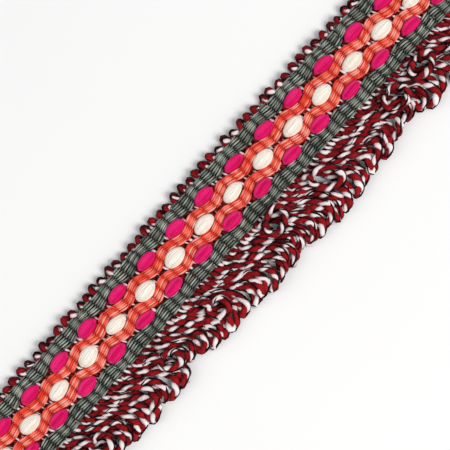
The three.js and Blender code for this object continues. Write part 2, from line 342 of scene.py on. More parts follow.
# The lights, which point at the origin, the light from all round, and the surface, in watts and metres.
LIGHTS = {
    "key": {"power": 5.8, "size": 0.55, "place": (0.25, -0.55, 0.75), "colour": (1.0, 0.985, 0.97)},
    "fill": {"power": 2.4, "size": 1.0, "place": (-0.6, 0.5, 0.7), "colour": (0.97, 0.98, 1.0)},
}
AIR_LIGHT = 0.445
SURFACE_HALF = 1.5
SURFACE_GRAIN = 30.0
SURFACE_FINISH = {"Roughness": 0.85, "Specular IOR Level": 0.1}


def place_on_frame():
    """How far the straight ribbon's origin is from the frame's, in millimetres."""
    low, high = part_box("woven_band")
    corner = (BOW_RADIUS + PICOT_SIDE_EDGE) * math.sin(-LENGTH / 2 / BOW_RADIUS)
    return np.array([low.x / MM - corner, high.y / MM - PICOT_SIDE_EDGE])


ORIGIN = place_on_frame()


def lay(points):
    """Points of the straight ribbon in millimetres, as points of the bowed one in metres in the frame."""
    angle = points[..., 0] / BOW_RADIUS
    radius = BOW_RADIUS + points[..., 1]
    x = radius * np.sin(angle) + ORIGIN[0]
    y = radius * np.cos(angle) - BOW_RADIUS + ORIGIN[1]
    return np.stack([x, y, points[..., 2]], -1) * MM


def wobble(index, purpose):
    """A repeatable number from -1 to 1 for the given piece and purpose, the same as in the solids' source.

    The purposes here, and the seeds of the two noises below, only tell the draws apart.
    """
    wave = np.sin(np.asarray(index) * 127.1 + purpose * 311.7) * 43758.5453
    return 2 * (wave - np.floor(wave)) - 1


def drift_noise(length, seed, wavelength):
    """Smooth noise from about -1 to 1 along a length in millimetres."""
    total = 0
    for k in range(4):
        phase = math.pi * wobble(seed, 20 + k)
        rate = 2 * math.pi / (wavelength * (0.6 + 0.37 * k))
        total = total + np.sin(length * rate + phase)
    return total / 2.4


def loose_noise(length, seed, spacing):
    """Smooth noise from -1 to 1 with no steady beat: chance values at even spacing, joined smoothly."""
    place = length / spacing
    number = np.floor(place)
    before = wobble(number + 977 * seed, 71)
    after = wobble(number + 1 + 977 * seed, 71)
    return before + (after - before) * smooth(place - number)


def smooth(share):
    """An even change from 0 to 1 that starts and ends softly."""
    t = np.clip(share, 0, 1)
    return t * t * (3 - 2 * t)


def unit(vectors):
    """The same directions with length 1."""
    return vectors / np.linalg.norm(vectors, axis=-1, keepdims=True)


def sections(centres):
    """The sideways and upward directions round centre lines, an array (threads, stations, 3)."""
    ahead = unit(np.gradient(centres, axis=1))
    side = unit(np.cross(UP, ahead))
    return side, np.cross(ahead, side)


# A tube's tone_and_shading holds the threads' own tone and the painted shade and light added to it.
def tube(centres, half_wide, half_high, sides, tone_and_shading):
    """Closed tubes along centre lines as one part: their points, faces, UV map in turns and mm, and tone."""
    threads, stations = centres.shape[:2]
    side, up = sections(centres)
    angle = 2 * math.pi * np.arange(sides) / sides
    wide = (np.broadcast_to(half_wide, (threads, stations))[..., None] * np.cos(angle))[..., None]
    high = (np.broadcast_to(half_high, (threads, stations))[..., None] * np.sin(angle))[..., None]
    points = centres[:, :, None] + side[:, :, None] * wide + up[:, :, None] * high
    number = np.arange(threads * stations * sides).reshape(threads, stations, sides)
    near, far = number[:, :-1], number[:, 1:]
    quads = np.stack([near, np.roll(near, -1, 2), np.roll(far, -1, 2), far], -1).reshape(-1, 4)
    step = np.linalg.norm(np.diff(centres, axis=1), axis=-1)
    length = np.concatenate([np.zeros((threads, 1)), np.cumsum(step, 1)], 1)
    turn = np.broadcast_to(np.arange(sides) / sides, (threads, stations - 1, sides))
    start = np.broadcast_to(length[:, :-1, None], turn.shape)
    end = np.broadcast_to(length[:, 1:, None], turn.shape)
    around = np.stack([turn, turn + 1 / sides, turn + 1 / sides, turn], -1)
    along = np.stack([start, start, end, end], -1)
    caps = np.concatenate([number[:, 0, ::-1], number[:, -1]])
    cap_length = np.repeat(np.concatenate([length[:, 0], length[:, -1]]), sides)
    cap_turn = np.tile(np.arange(sides) / sides, 2 * threads)
    uv = np.concatenate([np.stack([around, along], -1).reshape(-1, 2), np.stack([cap_turn, cap_length], -1)])
    shade = np.broadcast_to(np.broadcast_to(tone_and_shading, (threads, stations))[..., None], number.shape)
    return {
        "points": points.reshape(-1, 3),
        "corners": np.concatenate([quads.ravel(), caps.ravel()]),
        "sizes": np.concatenate([np.full(len(quads), 4), np.full(len(caps), sides)]),
        "uv": uv,
        "tone_and_shading": shade.ravel(),
    }


def put_in_scene(name, data):
    """A new object of the scene."""
    item = bpy.data.objects.new(name, data)
    bpy.context.scene.collection.objects.link(item)
    return item


def make_piece(name, parts, material):
    """One mesh object from parts, laid on the bowed ribbon, riding on the root body."""
    offset = np.cumsum([0] + [len(part["points"]) for part in parts])
    points = lay(np.concatenate([part["points"] for part in parts]))
    corners = np.concatenate([part["corners"] + start for part, start in zip(parts, offset)])
    sizes = np.concatenate([part["sizes"] for part in parts])
    mesh = bpy.data.meshes.new(name)
    mesh.vertices.add(len(points))
    mesh.vertices.foreach_set("co", points.ravel().astype(np.float32))
    mesh.loops.add(len(corners))
    mesh.loops.foreach_set("vertex_index", corners.astype(np.int32))
    mesh.polygons.add(len(sizes))
    starts = np.concatenate([[0], np.cumsum(sizes)[:-1]])
    mesh.polygons.foreach_set("loop_start", starts.astype(np.int32))
    mesh.polygons.foreach_set("use_smooth", np.ones(len(sizes), bool))
    layer = mesh.uv_layers.new(name="Yarn")
    uv = np.concatenate([part["uv"] for part in parts])
    layer.uv.foreach_set("vector", uv.ravel().astype(np.float32))
    tone_and_shading = mesh.attributes.new("tone_and_shading", "FLOAT", "POINT")
    tone_and_shading.data.foreach_set("value", np.concatenate([part["tone_and_shading"] for part in parts]).astype(np.float32))
    mesh.update(calc_edges=True)
    mesh.materials.append(material)
    piece = put_in_scene(name, mesh)
    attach(piece, "root")
    return piece


def beside_magenta(along):
    """1 beside a pair of magenta floats, 0 beside an ivory one."""
    repeats = (along / RIB_PITCH - MAGENTA_LINE) / RIBS_PER_REPEAT
    return 0.5 + 0.5 * np.cos(2 * math.pi * repeats)


def group_line(index, along):
    """Where a group of yarns starts across the ribbon."""
    row = YARN_GROUPS[index]
    return row["across"] + row["shift"] * beside_magenta(along)


def groups_of(yarn):
    """The places of a yarn's groups in the table."""
    return [i for i, row in enumerate(YARN_GROUPS) if row["yarn"] == yarn]


def warp_band(group, yarn):
    """The threads of one warp band, each over one rib and under the next."""
    make = WARP[yarn]
    count = make["threads"]
    along = np.linspace(-LENGTH / 2, LENGTH / 2, RIB_COUNT * WARP_STEPS_PER_RIB + 1)
    outer = group_line(group, along)
    inner = group_line(group + 1, along)
    thread = np.arange(count)[:, None]
    seed = thread + 40 * group
    share = (thread + 0.5) / count
    wave = np.sin(math.pi * along / RIB_PITCH) * np.where(thread % 2, -1, 1)
    lift = np.tanh(WARP_STEEPNESS * wave) / math.tanh(WARP_STEEPNESS)
    lean = np.array([drift_noise(along, k, WARP_WAVES["lean"]) for k in seed.ravel()])
    swell = np.array([drift_noise(along, k + 500, WARP_WAVES["swell"]) for k in seed.ravel()])
    crossing = np.floor(along / RIB_PITCH) + 61 * seed
    sway = wobble(crossing, 9) * np.abs(wave) ** 0.5
    across = outer + (inner - outer) * share + WARP_STRAY["lean"] * lean + WARP_STRAY["sway"] * sway
    height = CLOTH_MIDDLE + WARP_LIFT * lift + WARP_CROWN * np.abs(wave) * np.sign(lift)
    height = height + WARP_STRAY["rise"] * swell
    height = height + WARP_STRAY["jump"] * wobble(crossing, 5) * np.maximum(lift, 0)
    spread = make["squeeze"] + (1 - make["squeeze"]) * lift**2
    half_wide = make["half_wide"] * spread * (1 + WARP_STRAY["girth"] * swell)
    tone_and_shading = WARP_TONES["thread"] * wobble(seed, 7) + WARP_TONES["rib"] * wobble(crossing, 8)
    # Painted shade: darker in the valleys between the ribs, where the threads dip.
    tone_and_shading = tone_and_shading - VALLEY_SHADE * (1 - np.abs(wave)) ** 2
    centres = np.stack([np.broadcast_to(along, across.shape), across, height], -1)
    return tube(centres, half_wide, make["half_high"], WARP_SIDES, tone_and_shading)


def float_stations(line):
    """Places along the ribbon for a float yarn's rings, closer together where it dips through the cloth."""
    repeats = np.arange(-RIB_COUNT // RIBS_PER_REPEAT - 1, RIB_COUNT // RIBS_PER_REPEAT + 2)
    rows = (line + RIBS_PER_REPEAT * repeats)[:, None] + np.array(FLOAT_STATIONS)
    places = np.sort(rows.ravel()) * RIB_PITCH
    inside = places[np.abs(places) < LENGTH / 2 - FLOAT_END_ROOM]
    return np.concatenate([[-LENGTH / 2], inside, [LENGTH / 2]])


def float_form(group, yarn, along):
    """A float yarn's bundle along the ribbon: middle height, half sizes, fullness and how askew it lies."""
    make = FLOATS[yarn]
    under = FLOAT_UNDER
    stray = FLOAT_STRAY
    repeats = (along / RIB_PITCH - make["line"]) / RIBS_PER_REPEAT
    number = np.round(repeats)
    past = (repeats - number) * RIBS_PER_REPEAT * RIB_PITCH + stray["along"] * wobble(number, 34 + group)
    distance = np.abs(past)
    fullness = np.clip(1 - (distance / make["half_long"]) ** 2, 0, 1) ** make["round"]
    over = 0.5 + 0.5 * np.tanh((RIB_PITCH - distance) / FLOAT_DIP)
    plump = 1 + stray["size"] * wobble(number, 30 + group)
    slant = stray["slant"] * past * wobble(number, 38 + group)
    askew = (stray["across"] * wobble(number, 36 + group) + slant) * fullness
    half_wide = under["half_wide"] + (make["half_wide"] * plump - under["half_wide"]) * fullness
    half_high = under["half_high"] + (make["half_high"] * plump - under["half_high"]) * fullness
    height = under["height"] + (FLOAT_OVER_HEIGHT - under["height"]) * over
    return height, half_wide, half_high, fullness, askew


def oval_round(half_wide, half_high):
    """The length round an oval."""
    bend = np.sqrt((3 * half_wide + half_high) * (half_wide + 3 * half_high))
    return math.pi * (3 * (half_wide + half_high) - bend)


def float_yarn(group, yarn):
    """One float yarn: a ring of strands round a plain core."""
    along = float_stations(FLOATS[yarn]["line"])
    height, half_wide, half_high, fullness, askew = float_form(group, yarn, along)
    middle = 0.5 * (group_line(group, along) + group_line(group + 1, along))
    middle = middle + FLOAT_WAVER * drift_noise(along, group, FLOAT_WAVE) + askew
    strand = np.arange(FLOAT_STRANDS)[:, None]
    waver = np.array([drift_noise(along, 70 * group + k, STRAND_WAVE) for k in range(FLOAT_STRANDS)])
    angle = 2 * math.pi * strand / FLOAT_STRANDS + STRAND_WAVER * waver
    across = middle + STRAND_RING["wide"] * half_wide * np.cos(angle)
    up = height + STRAND_RING["high"] * half_high * np.sin(angle)
    up = np.maximum(up, STRAND_LOWEST)
    half = STRAND_THICK * oval_round(half_wide, half_high) / FLOAT_STRANDS
    # Painted shade: darker towards the float's ends and on its sides.
    tone_and_shading = wobble(strand, 50 + group) - FLOAT_END_SHADE * smooth((FLOAT_FULL - fullness) / FLOAT_FULL)
    tone_and_shading = tone_and_shading - FLOAT_EDGE_SHADE * np.abs(np.cos(angle)) ** 4
    centres = np.stack([np.broadcast_to(along, across.shape), across, up], -1)
    strands = tube(centres, half, STRAND_FLAT * half, STRAND_SIDES, tone_and_shading)
    core_line = np.stack([along, middle, np.maximum(height, CORE["lowest"])], -1)[None]
    core_half = (CORE["wide"] * half_wide[None], CORE["high"] * half_high[None])
    core = tube(core_line, *core_half, CORE["sides"], 0.0)
    return [core, strands]


def pick_height(rib, across):
    """How high the weft runs under and over the float yarns at one rib."""
    along = (rib + 0.5) * RIB_PITCH
    height = np.full(across.shape, CLOTH_MIDDLE)
    for yarn, make in FLOATS.items():
        over = (rib - make["line"]) % RIBS_PER_REPEAT in (0, RIBS_PER_REPEAT - 1)
        for group in groups_of(yarn):
            middle = 0.5 * (group_line(group, along) + group_line(group + 1, along))
            near = np.exp(-(((across - middle) / PICK_DIP_HALF) ** 2))
            height = height + (-PICK_DIP if over else PICK_RISE) * near
    return height


def pick(rib, side):
    """One pass of the weft across the band, from the picot side to the fringe side."""
    steps = int((PICOT_SIDE_EDGE - FRINGE_SIDE_EDGE) / PICK_STEP)
    across = np.linspace(PICOT_SIDE_EDGE, FRINGE_SIDE_EDGE, steps)
    waver = PICK_WAVER * drift_noise(across, 3 * rib + side, PICK_WAVE)
    along = (rib + 0.5) * RIB_PITCH + side * PICK_OFFSET + waver
    return np.stack([along, across, pick_height(rib, across)], -1)


def picot_turn(line):
    """The weft's turn round the picot edge, from one rib into the next."""
    stray = PICOT_STRAY
    share = np.linspace(0, 1, PICOT_STEPS + 2)[1:-1]
    angle = math.pi * share
    reach = PICOT_REACH * (1 + stray["reach"] * wobble(line, 61))
    along = line * RIB_PITCH - PICK_OFFSET * np.cos(angle) * (1 - PICOT_PINCH * np.sin(angle))
    along = along + stray["along"] * wobble(line, 62) * np.sin(angle)
    height = CLOTH_MIDDLE + (stray["height"] * wobble(line, 63) + PICOT_LIFT) * np.sin(angle)
    tilt = stray["tilt"] * np.sign(wobble(line, 64)) * np.sin(2 * angle)
    return np.stack([along, PICOT_SIDE_EDGE + reach * np.sin(angle), height + tilt], -1)


def fringe_fall(name, along):
    """The fringe's reach or drift at any place along the ribbon."""
    return np.interp(along, FRINGE_FALL["along"], FRINGE_FALL[name])


def even_points(route, count):
    """The route's points again, evenly spaced on a smooth curve through them."""
    position = np.arange(len(route))
    fine = np.linspace(0, len(route) - 1, CURVE_STEPS * len(route))
    dense = np.stack([catmull(position, route[:, axis], fine) for axis in range(3)], -1)
    step = np.linalg.norm(np.diff(dense, axis=0), axis=-1)
    length = np.concatenate([[0], np.cumsum(step)])
    even = np.linspace(0, length[-1], count)
    return np.stack([np.interp(even, length, dense[:, axis]) for axis in range(3)], -1)


def catmull(position, values, wanted):
    """A smooth curve through values at whole positions."""
    index = np.clip(np.floor(wanted).astype(int), 0, len(position) - 2)
    t = wanted - index
    p1 = values[index]
    p2 = values[index + 1]
    p0 = values[np.maximum(index - 1, 0)]
    p3 = values[np.minimum(index + 2, len(values) - 1)]
    a = 2 * p1
    b = p2 - p0
    c = 2 * p0 - 5 * p1 + 4 * p2 - p3
    d = 3 * p1 - p0 - 3 * p2 + p3
    return 0.5 * (a + t * (b + t * (c + t * d)))


def into_gaps(rib):
    """How far a loop spreads sideways into the room beside it that a curled loop leaves."""
    spread = 0
    for curl in CURLS:
        apart = curl["rib"] - rib
        spread += GAP_SPREAD * math.copysign(math.exp((1 - abs(apart)) / GAP_FADE), apart)
    return spread


def tuft(make, rib, seed):
    """How far a loop differs together with its neighbours."""
    return make["by"] * loose_noise(rib, seed, make["ribs"])


def plain_loop(rib):
    """A loop of the fringe before it settles: it leaves the edge square, lies over and turns back."""
    stray = LOOP_STRAY
    middle = (rib + 0.5) * RIB_PITCH
    reach = fringe_fall("reach", middle) - YARN_RADIUS + FRINGE_SIDE_EDGE
    reach = reach + stray["reach"] * wobble(rib, 1) + tuft(TUFT_REACH, rib, 6)
    lie = fringe_fall("drift", middle) + stray["lie"] * wobble(rib, 2)
    lie = lie + tuft(TUFT_LIE, rib, 5) + into_gaps(rib)
    belly = BELLY_HALF + stray["belly"] * wobble(rib, 3)
    upper = 1 if wobble(rib, 4) < UPPER_LEG else -1
    rows = {-1: [], 1: []}
    for side in rows:
        lift = LEG_LIFT * side * upper + LOOP_LIFT + stray["height"] * wobble(rib, 5)
        for k, (out, drift, spread) in enumerate(zip(*LOOP_OUTLINE.values())):
            half = PICK_OFFSET + (belly - PICK_OFFSET) * spread
            waver = stray["waver"] * wobble(rib + 7 * k, 10 + side) * smooth(k / WAVER_FROM)
            height = CLOTH_MIDDLE + lift * smooth(out * LOOP_RISE)
            along = middle + lie * drift + side * half + waver
            rows[side].append([along, FRINGE_SIDE_EDGE - out * reach, height])
    return np.array(rows[-1] + rows[1][::-1])


def curled_loop(curl):
    """A loop that curls over on top: up from its root, round its ring and back."""
    middle = (curl["rib"] + 0.5) * RIB_PITCH
    turn = math.radians(curl["turn"])
    root = -FRINGE_SIDE_EDGE
    towards_root = math.atan2(curl["out"] - root, middle - curl["along"]) - turn
    angle = towards_root + np.linspace(RING_MOUTH, 2 * math.pi - RING_MOUTH, RING_POINTS)
    long = curl["half_long"] * np.cos(angle)
    short = curl["half_short"] * np.sin(angle)
    along = curl["along"] + long * math.cos(turn) - short * math.sin(turn)
    across = -curl["out"] + long * math.sin(turn) + short * math.cos(turn)
    ring = np.stack([along, across, np.full(along.shape, RING_HEIGHT)], -1)
    if ring[0, 0] > ring[-1, 0]:
        ring = ring[::-1]
    near = middle - PICK_OFFSET
    far = middle + PICK_OFFSET
    starts = [[near, -root, CLOTH_MIDDLE], [near, -root - ROOT_OUT, ROOT_RISE]]
    ends = [[far, -root - ROOT_OUT, ROOT_RISE], [far, -root, CLOTH_MIDDLE]]
    return np.concatenate([starts, ring, ends])


def close_pairs(loops, reach):
    """Pairs of points of the loops that lie nearer than reach and aren't neighbours on one yarn."""
    count, steps = loops.shape[:2]
    firsts = []
    seconds = []
    for apart in range(PAIRS_LOOPS):
        a = loops[: count - apart, :, None]
        b = loops[apart:, None]
        near = ((a - b) ** 2).sum(-1) < reach**2
        if apart == 0:
            place = np.arange(steps)
            near &= (place[None, :] - place[:, None] > PAIRS_POINTS)[None]
        loop, i, j = np.nonzero(near)
        firsts.append(loop * steps + i)
        seconds.append((loop + apart) * steps + j)
    return np.concatenate(firsts), np.concatenate(seconds)


def push_apart(moved, first, second):
    """Moves points that lie too near each other apart, mostly up and down."""
    flat = moved.reshape(-1, 3)
    gap = flat[second] - flat[first]
    distance = np.maximum(np.linalg.norm(gap, axis=-1), 1e-4)
    push = PUSH_SHARE * np.clip(YARNS_APART - distance, 0, PUSH_MOST) / distance
    for axis in range(3):
        share = push * gap[:, axis] * PUSH_BY_AXIS[axis]
        flat[:, axis] += np.bincount(second, share, len(flat)) - np.bincount(first, share, len(flat))


def keep_lengths(moved, rest):
    """Brings the stretches between the points back to their lengths, every other one at a time."""
    for parity in (0, 1):
        a = moved[:, parity:-1:2]
        b = moved[:, parity + 1 :: 2]
        span = b - a
        long = np.linalg.norm(span, axis=-1, keepdims=True)
        fix = 0.5 * span * (1 - rest[:, parity::2, None] / long)
        a += fix
        b -= fix


def keep_forms(moved, forms):
    """Bends the loops back towards the bends that they started with."""
    for s, form in forms.items():
        bend = 0.5 * (moved[:, : -2 * s] + moved[:, 2 * s :]) + form - moved[:, s:-s]
        moved[:, s:-s] += FORM_SHARE * bend


def stay_above(moved, curled):
    """Keeps the loops above the surface, above the band where they lie over it, and the rings on top."""
    over_band = smooth((moved[..., 1] - FRINGE_SIDE_EDGE + BAND_EASE) / BAND_EASE)
    lowest = YARN_RADIUS * FLOOR_SHARE + over_band * BAND_CLEAR + RING_LIFT * curled
    lowest[:, :ROOT_POINTS] = 0
    lowest[:, -ROOT_POINTS:] = 0
    moved[..., 2] = np.maximum(moved[..., 2], lowest)


def settled(loops, firm):
    """Lets the loops sink onto each other, keeping their lengths and forms, until none lie in each other.

    firm is how strongly each loop is held over its place, from 0 to 1.
    """
    share = np.linspace(0, 1, loops.shape[1])
    curled = (firm > HOLD_PLAIN)[:, None] * smooth(RING_EASE * np.sin(math.pi * share) - RING_FROM)
    rest = np.linalg.norm(np.diff(loops, axis=1), axis=-1)
    forms = {s: loops[:, s:-s] - 0.5 * (loops[:, : -2 * s] + loops[:, 2 * s :]) for s in BEND_SPANS}
    moved = loops.copy()
    for turn in range(SETTLE_STEPS):
        if turn % PAIRS_EVERY == 0:
            first, second = close_pairs(moved, YARNS_APART + PAIRS_MARGIN)
        push_apart(moved, first, second)
        moved[..., 2] -= SETTLE_SINK
        keep_lengths(moved, rest)
        keep_forms(moved, forms)
        moved[..., :2] += firm[:, None, None] * (loops[..., :2] - moved[..., :2])
        stay_above(moved, curled)
        moved[:, :2] = loops[:, :2]
        moved[:, -2:] = loops[:, -2:]
    return moved


def fringe_loops():
    """All loops of the fringe, settled, by the rib that they grow from."""
    ribs = np.arange(RIB_COUNT) - RIB_COUNT // 2
    curls = {row["rib"]: row for row in CURLS}
    routes = [curled_loop(curls[rib]) if rib in curls else plain_loop(rib) for rib in ribs]
    loops = np.array([even_points(route, LOOP_POINTS) for route in routes])
    firm = np.array([HOLD_CURLED if rib in curls else HOLD_PLAIN for rib in ribs])
    return dict(zip(ribs, settled(loops, firm)))


def weft_route(loops):
    """The whole weft as one line: across the band, a loop, back, and a picot turn into the next rib."""
    route = []
    for rib in sorted(loops):
        loop = even_points(loops[rib], 2 * LOOP_POINTS)[1:-1]
        route.extend([pick(rib, -1), loop, pick(rib, 1)[::-1]])
        if rib + 1 < RIB_COUNT // 2:
            route.append(picot_turn(rib + 1))
    return np.concatenate(route)


def weft_size(across):
    """How thick the weft is: pressed thin in the band, full outside it and swollen at the loops' tips."""
    at_picots = across - PICOT_SIDE_EDGE + SWELL_EASE["picots"]
    at_fringe = 0.5 * (FRINGE_SIDE_EDGE + SWELL_EASE["fringe"] - across)
    outside = smooth(np.maximum(at_picots, at_fringe))
    picots = (PICOT_SIZE - 1) * smooth(across - PICOT_SIDE_EDGE)
    tips = TIP_SWELL * smooth((-across - TIP_SWELL_FROM) / TIP_SWELL_OVER)
    return PICK_SIZE + (1 - PICK_SIZE) * outside + tips + picots


def weft_plies(route):
    """The parts of the red ply, the white ply and the black thread, wound round the weft's line."""
    step = np.linalg.norm(np.diff(route, axis=0), axis=-1)
    length = np.concatenate([[0], np.cumsum(step)])
    size = weft_size(route[:, 1])
    side, up = sections(route[None])
    turned = 2 * math.pi * length / TWIST + TWIST_WANDER * loose_noise(length, 3, TWIST_WAVE)
    turned = red_side_up(turned, length, route[:, 1])
    parts = {}
    for seed, (ply, make) in enumerate(PLIES.items()):
        slubs = make["slubs"] * drift_noise(length, 11 + seed, SLUB_WAVE)
        slubs = slubs + PLY_BUMPS * loose_noise(length, 51 + seed, BUMP_WAVE)
        half = make["half"] * size * (1 + slubs)
        wound = turned
        if make["loose"]:
            wound = loosely_wound(make, turned, length, route[:, 1])
        angle = -(wound + make["turn"] * math.pi)
        aside = (make["orbit"] * size * np.cos(angle))[:, None]
        above = (make["orbit"] * size * np.sin(angle))[:, None]
        line = route + side[0] * aside + up[0] * above
        line[:, 2] = np.maximum(line[:, 2], half * PLY_FLAT)
        slow = SLOW_TONE["share"] * drift_noise(length, 31 + seed, SLOW_TONE["wave"])
        quick = QUICK_TONE["share"] * drift_noise(length, 41 + seed, QUICK_TONE["wave"])
        tone_and_shading = PLY_TONE * (slow + quick)
        parts[ply] = tube(line[None], half[None], half[None] * PLY_FLAT, make["sides"], tone_and_shading[None])
    shade_plies(parts, route, size)
    return parts


def shade_plies(parts, route, size):
    """Paints shade on the plies' flanks, in hollows and in the band, and paints light on the loops' tips."""
    tops = top_map([part["points"] for part in parts.values()])
    for ply, part in parts.items():
        sides = PLIES[ply]["sides"]
        points = part["points"]
        across = points[:, 1]
        # Painted shade on the yarn's flanks, in hollows and inside the band, and painted light at the loops'
        # tips.
        rise = (points[:, 2] - np.repeat(route[:, 2], sides)) / (YARN_RADIUS * np.repeat(size, sides))
        flank = np.minimum(rise - FLANK_LEVEL, FLANK_MOST)
        tone_and_shading = part["tone_and_shading"] + FLANK_SHADE * flank + HOLLOW_SHADE * hollow(points, tops)
        tip = smooth((-across - TIP_LIGHT_FROM) / TIP_LIGHT_OVER)
        part["tone_and_shading"] = tone_and_shading - BAND_SHADE * under_band(across) + TIP_LIGHT * tip


def red_side_up(turned, length, across):
    """The twist along the yarn, eased so that every picot goes from the red ply on top to the white one."""
    inside = across > PICOT_SIDE_EDGE + PICOT_START
    starts = np.flatnonzero(np.diff(inside.astype(int)) == 1) + 1
    ends = np.flatnonzero(np.diff(inside.astype(int)) == -1)
    middle = (starts + ends) // 2
    wanted = PICOT_STRAY["roll"] * wobble(middle, 81) - PICOT_RED
    wanted = wanted + 2 * math.pi * np.round((turned[middle] - wanted) / (2 * math.pi))
    knots = np.stack([starts, ends], 1).ravel()
    angles = np.stack([wanted - PICOT_ROLL, wanted + PICOT_ROLL], 1).ravel()
    return turned + np.interp(length, length[knots], angles - turned[knots])


def loosely_wound(make, turned, length, across):
    """The thin thread's own winding: uneven, and straight round the outside of most loops' tips."""
    tips = smooth((-across - LOOSE_FROM) / LOOSE_OVER)
    wound = np.cumsum(np.diff(turned, prepend=0) * (1 - make["loose"] * tips))
    wound = wound + THREAD_WANDER * loose_noise(length, 9, THREAD_WAVE) * (1 - LOOSE_CALM * tips)
    step = np.diff(across)
    at_tip = (step[:-1] < 0) & (step[1:] >= 0) & (across[1:-1] < -OUTSIDE_FROM)
    turns = np.flatnonzero(at_tip) + 1
    outside = 2 * math.pi * np.round(wound[turns] / (2 * math.pi)) + OUTSIDE_ROLL * wobble(turns, 83)
    return wound + np.interp(length, length[turns], outside - wound[turns])


def map_cells(points):
    """The cells of the map of tops that points lie in."""
    along = ((points[:, 0] + LENGTH / 2 + MAP_MARGIN) / MAP_CELL).astype(int)
    across = ((points[:, 1] + MAP_OUT) / MAP_CELL).astype(int)
    return along, across


def top_map(clouds):
    """How high the yarns' tops are on average round each place, as a map seen from above."""
    tops = np.zeros((int((LENGTH + 2 * MAP_MARGIN) / MAP_CELL), int(MAP_WIDE / MAP_CELL)))
    for points in clouds:
        np.maximum.at(tops, map_cells(points), points[:, 2])
    for axis in (0, 1, 0, 1):
        tops = sum(np.roll(tops, shift, axis) for shift in range(-MAP_BLUR, MAP_BLUR + 1))
        tops = tops / (2 * MAP_BLUR + 1)
    return tops


def under_band(across):
    """1 where the weft lies between the warp threads, 0 outside the band's edges."""
    from_picots = smooth((PICOT_SIDE_EDGE - BAND_INSET - across) / BAND_FADE)
    return from_picots * smooth((across - FRINGE_SIDE_EDGE - BAND_INSET) / BAND_FADE)


def hollow(points, tops):
    """Below 0 where a point lies lower than the yarns round it, where light hardly reaches."""
    below = (points[:, 2] - tops[map_cells(points)]) / (2 * YARN_RADIUS)
    return np.clip(below - HOLLOW_SLACK, -1, 0)


def linear(red, green, blue):
    """A colour of 0 to 255 as Blender's linear values."""

    def channel(value):
        share = value / 255
        return share / 12.92 if share <= 0.04045 else ((share + 0.055) / 1.055) ** 2.4

    return (channel(red), channel(green), channel(blue), 1.0)


def new_group(name, inputs, output, kind):
    """A shader node group with its inputs, numbers with a default or colours without, and its one output."""
    tree = bpy.data.node_groups.new(name, "ShaderNodeTree")
    for socket, default in inputs.items():
        if default is None:
            tree.interface.new_socket(socket, in_out="INPUT", socket_type="NodeSocketColor")
        else:
            entry = tree.interface.new_socket(socket, in_out="INPUT", socket_type="NodeSocketFloat")
            entry.default_value = default
    tree.interface.new_socket(output, in_out="OUTPUT", socket_type=kind)
    return tree, tree.nodes.new("NodeGroupInput"), tree.nodes.new("NodeGroupOutput")


def set_inputs(node, values):
    """Sets a shader node's inputs."""
    for socket, value in values.items():
        node.inputs[socket].default_value = value


def math_node(tree, operation, first, second):
    """A sum on one or two numbers or sockets, as the socket of its result."""
    node = tree.nodes.new("ShaderNodeMath")
    node.operation = operation
    for index, value in enumerate((first, second)):
        if isinstance(value, (int, float)):
            node.inputs[index].default_value = value
        elif value is not None:
            tree.links.new(value, node.inputs[index])
    return node.outputs[0]


def mix_node(tree, share, first, second):
    """A mix of two colours, as the socket of its result."""
    mix = tree.nodes.new("ShaderNodeMix")
    mix.data_type = "RGBA"
    for index, value in ((0, share), (6, first), (7, second)):
        tree.links.new(value, mix.inputs[index])
    return mix.outputs[2]


def twisted_fibres():
    """A group that gives fine fibre streaks winding round a yarn, from its UV map."""
    inputs = {"Turns per mm": 0.5, "Fineness": 2.0, "Stretch": 0.6}
    tree, enter, leave = new_group("twisted fibres", inputs, "Streak", "NodeSocketFloat")
    uv = tree.nodes.new("ShaderNodeUVMap")
    uv.uv_map = "Yarn"
    split = tree.nodes.new("ShaderNodeSeparateXYZ")
    tree.links.new(uv.outputs[0], split.inputs[0])
    turned = math_node(tree, "MULTIPLY", split.outputs[1], enter.outputs["Turns per mm"])
    angle = math_node(tree, "MULTIPLY", math_node(tree, "ADD", split.outputs[0], turned), 2 * math.pi)
    x = math_node(tree, "MULTIPLY", math_node(tree, "COSINE", angle, None), enter.outputs["Fineness"])
    y = math_node(tree, "MULTIPLY", math_node(tree, "SINE", angle, None), enter.outputs["Fineness"])
    z = math_node(tree, "MULTIPLY", split.outputs[1], enter.outputs["Stretch"])
    joined = tree.nodes.new("ShaderNodeCombineXYZ")
    for index, value in enumerate((x, y, z)):
        tree.links.new(value, joined.inputs[index])
    noise = tree.nodes.new("ShaderNodeTexNoise")
    set_inputs(noise, {"Scale": 1.0, "Detail": 3.0, "Roughness": 0.6})
    tree.links.new(joined.outputs[0], noise.inputs["Vector"])
    tree.links.new(noise.outputs["Fac"], leave.inputs["Streak"])
    return tree


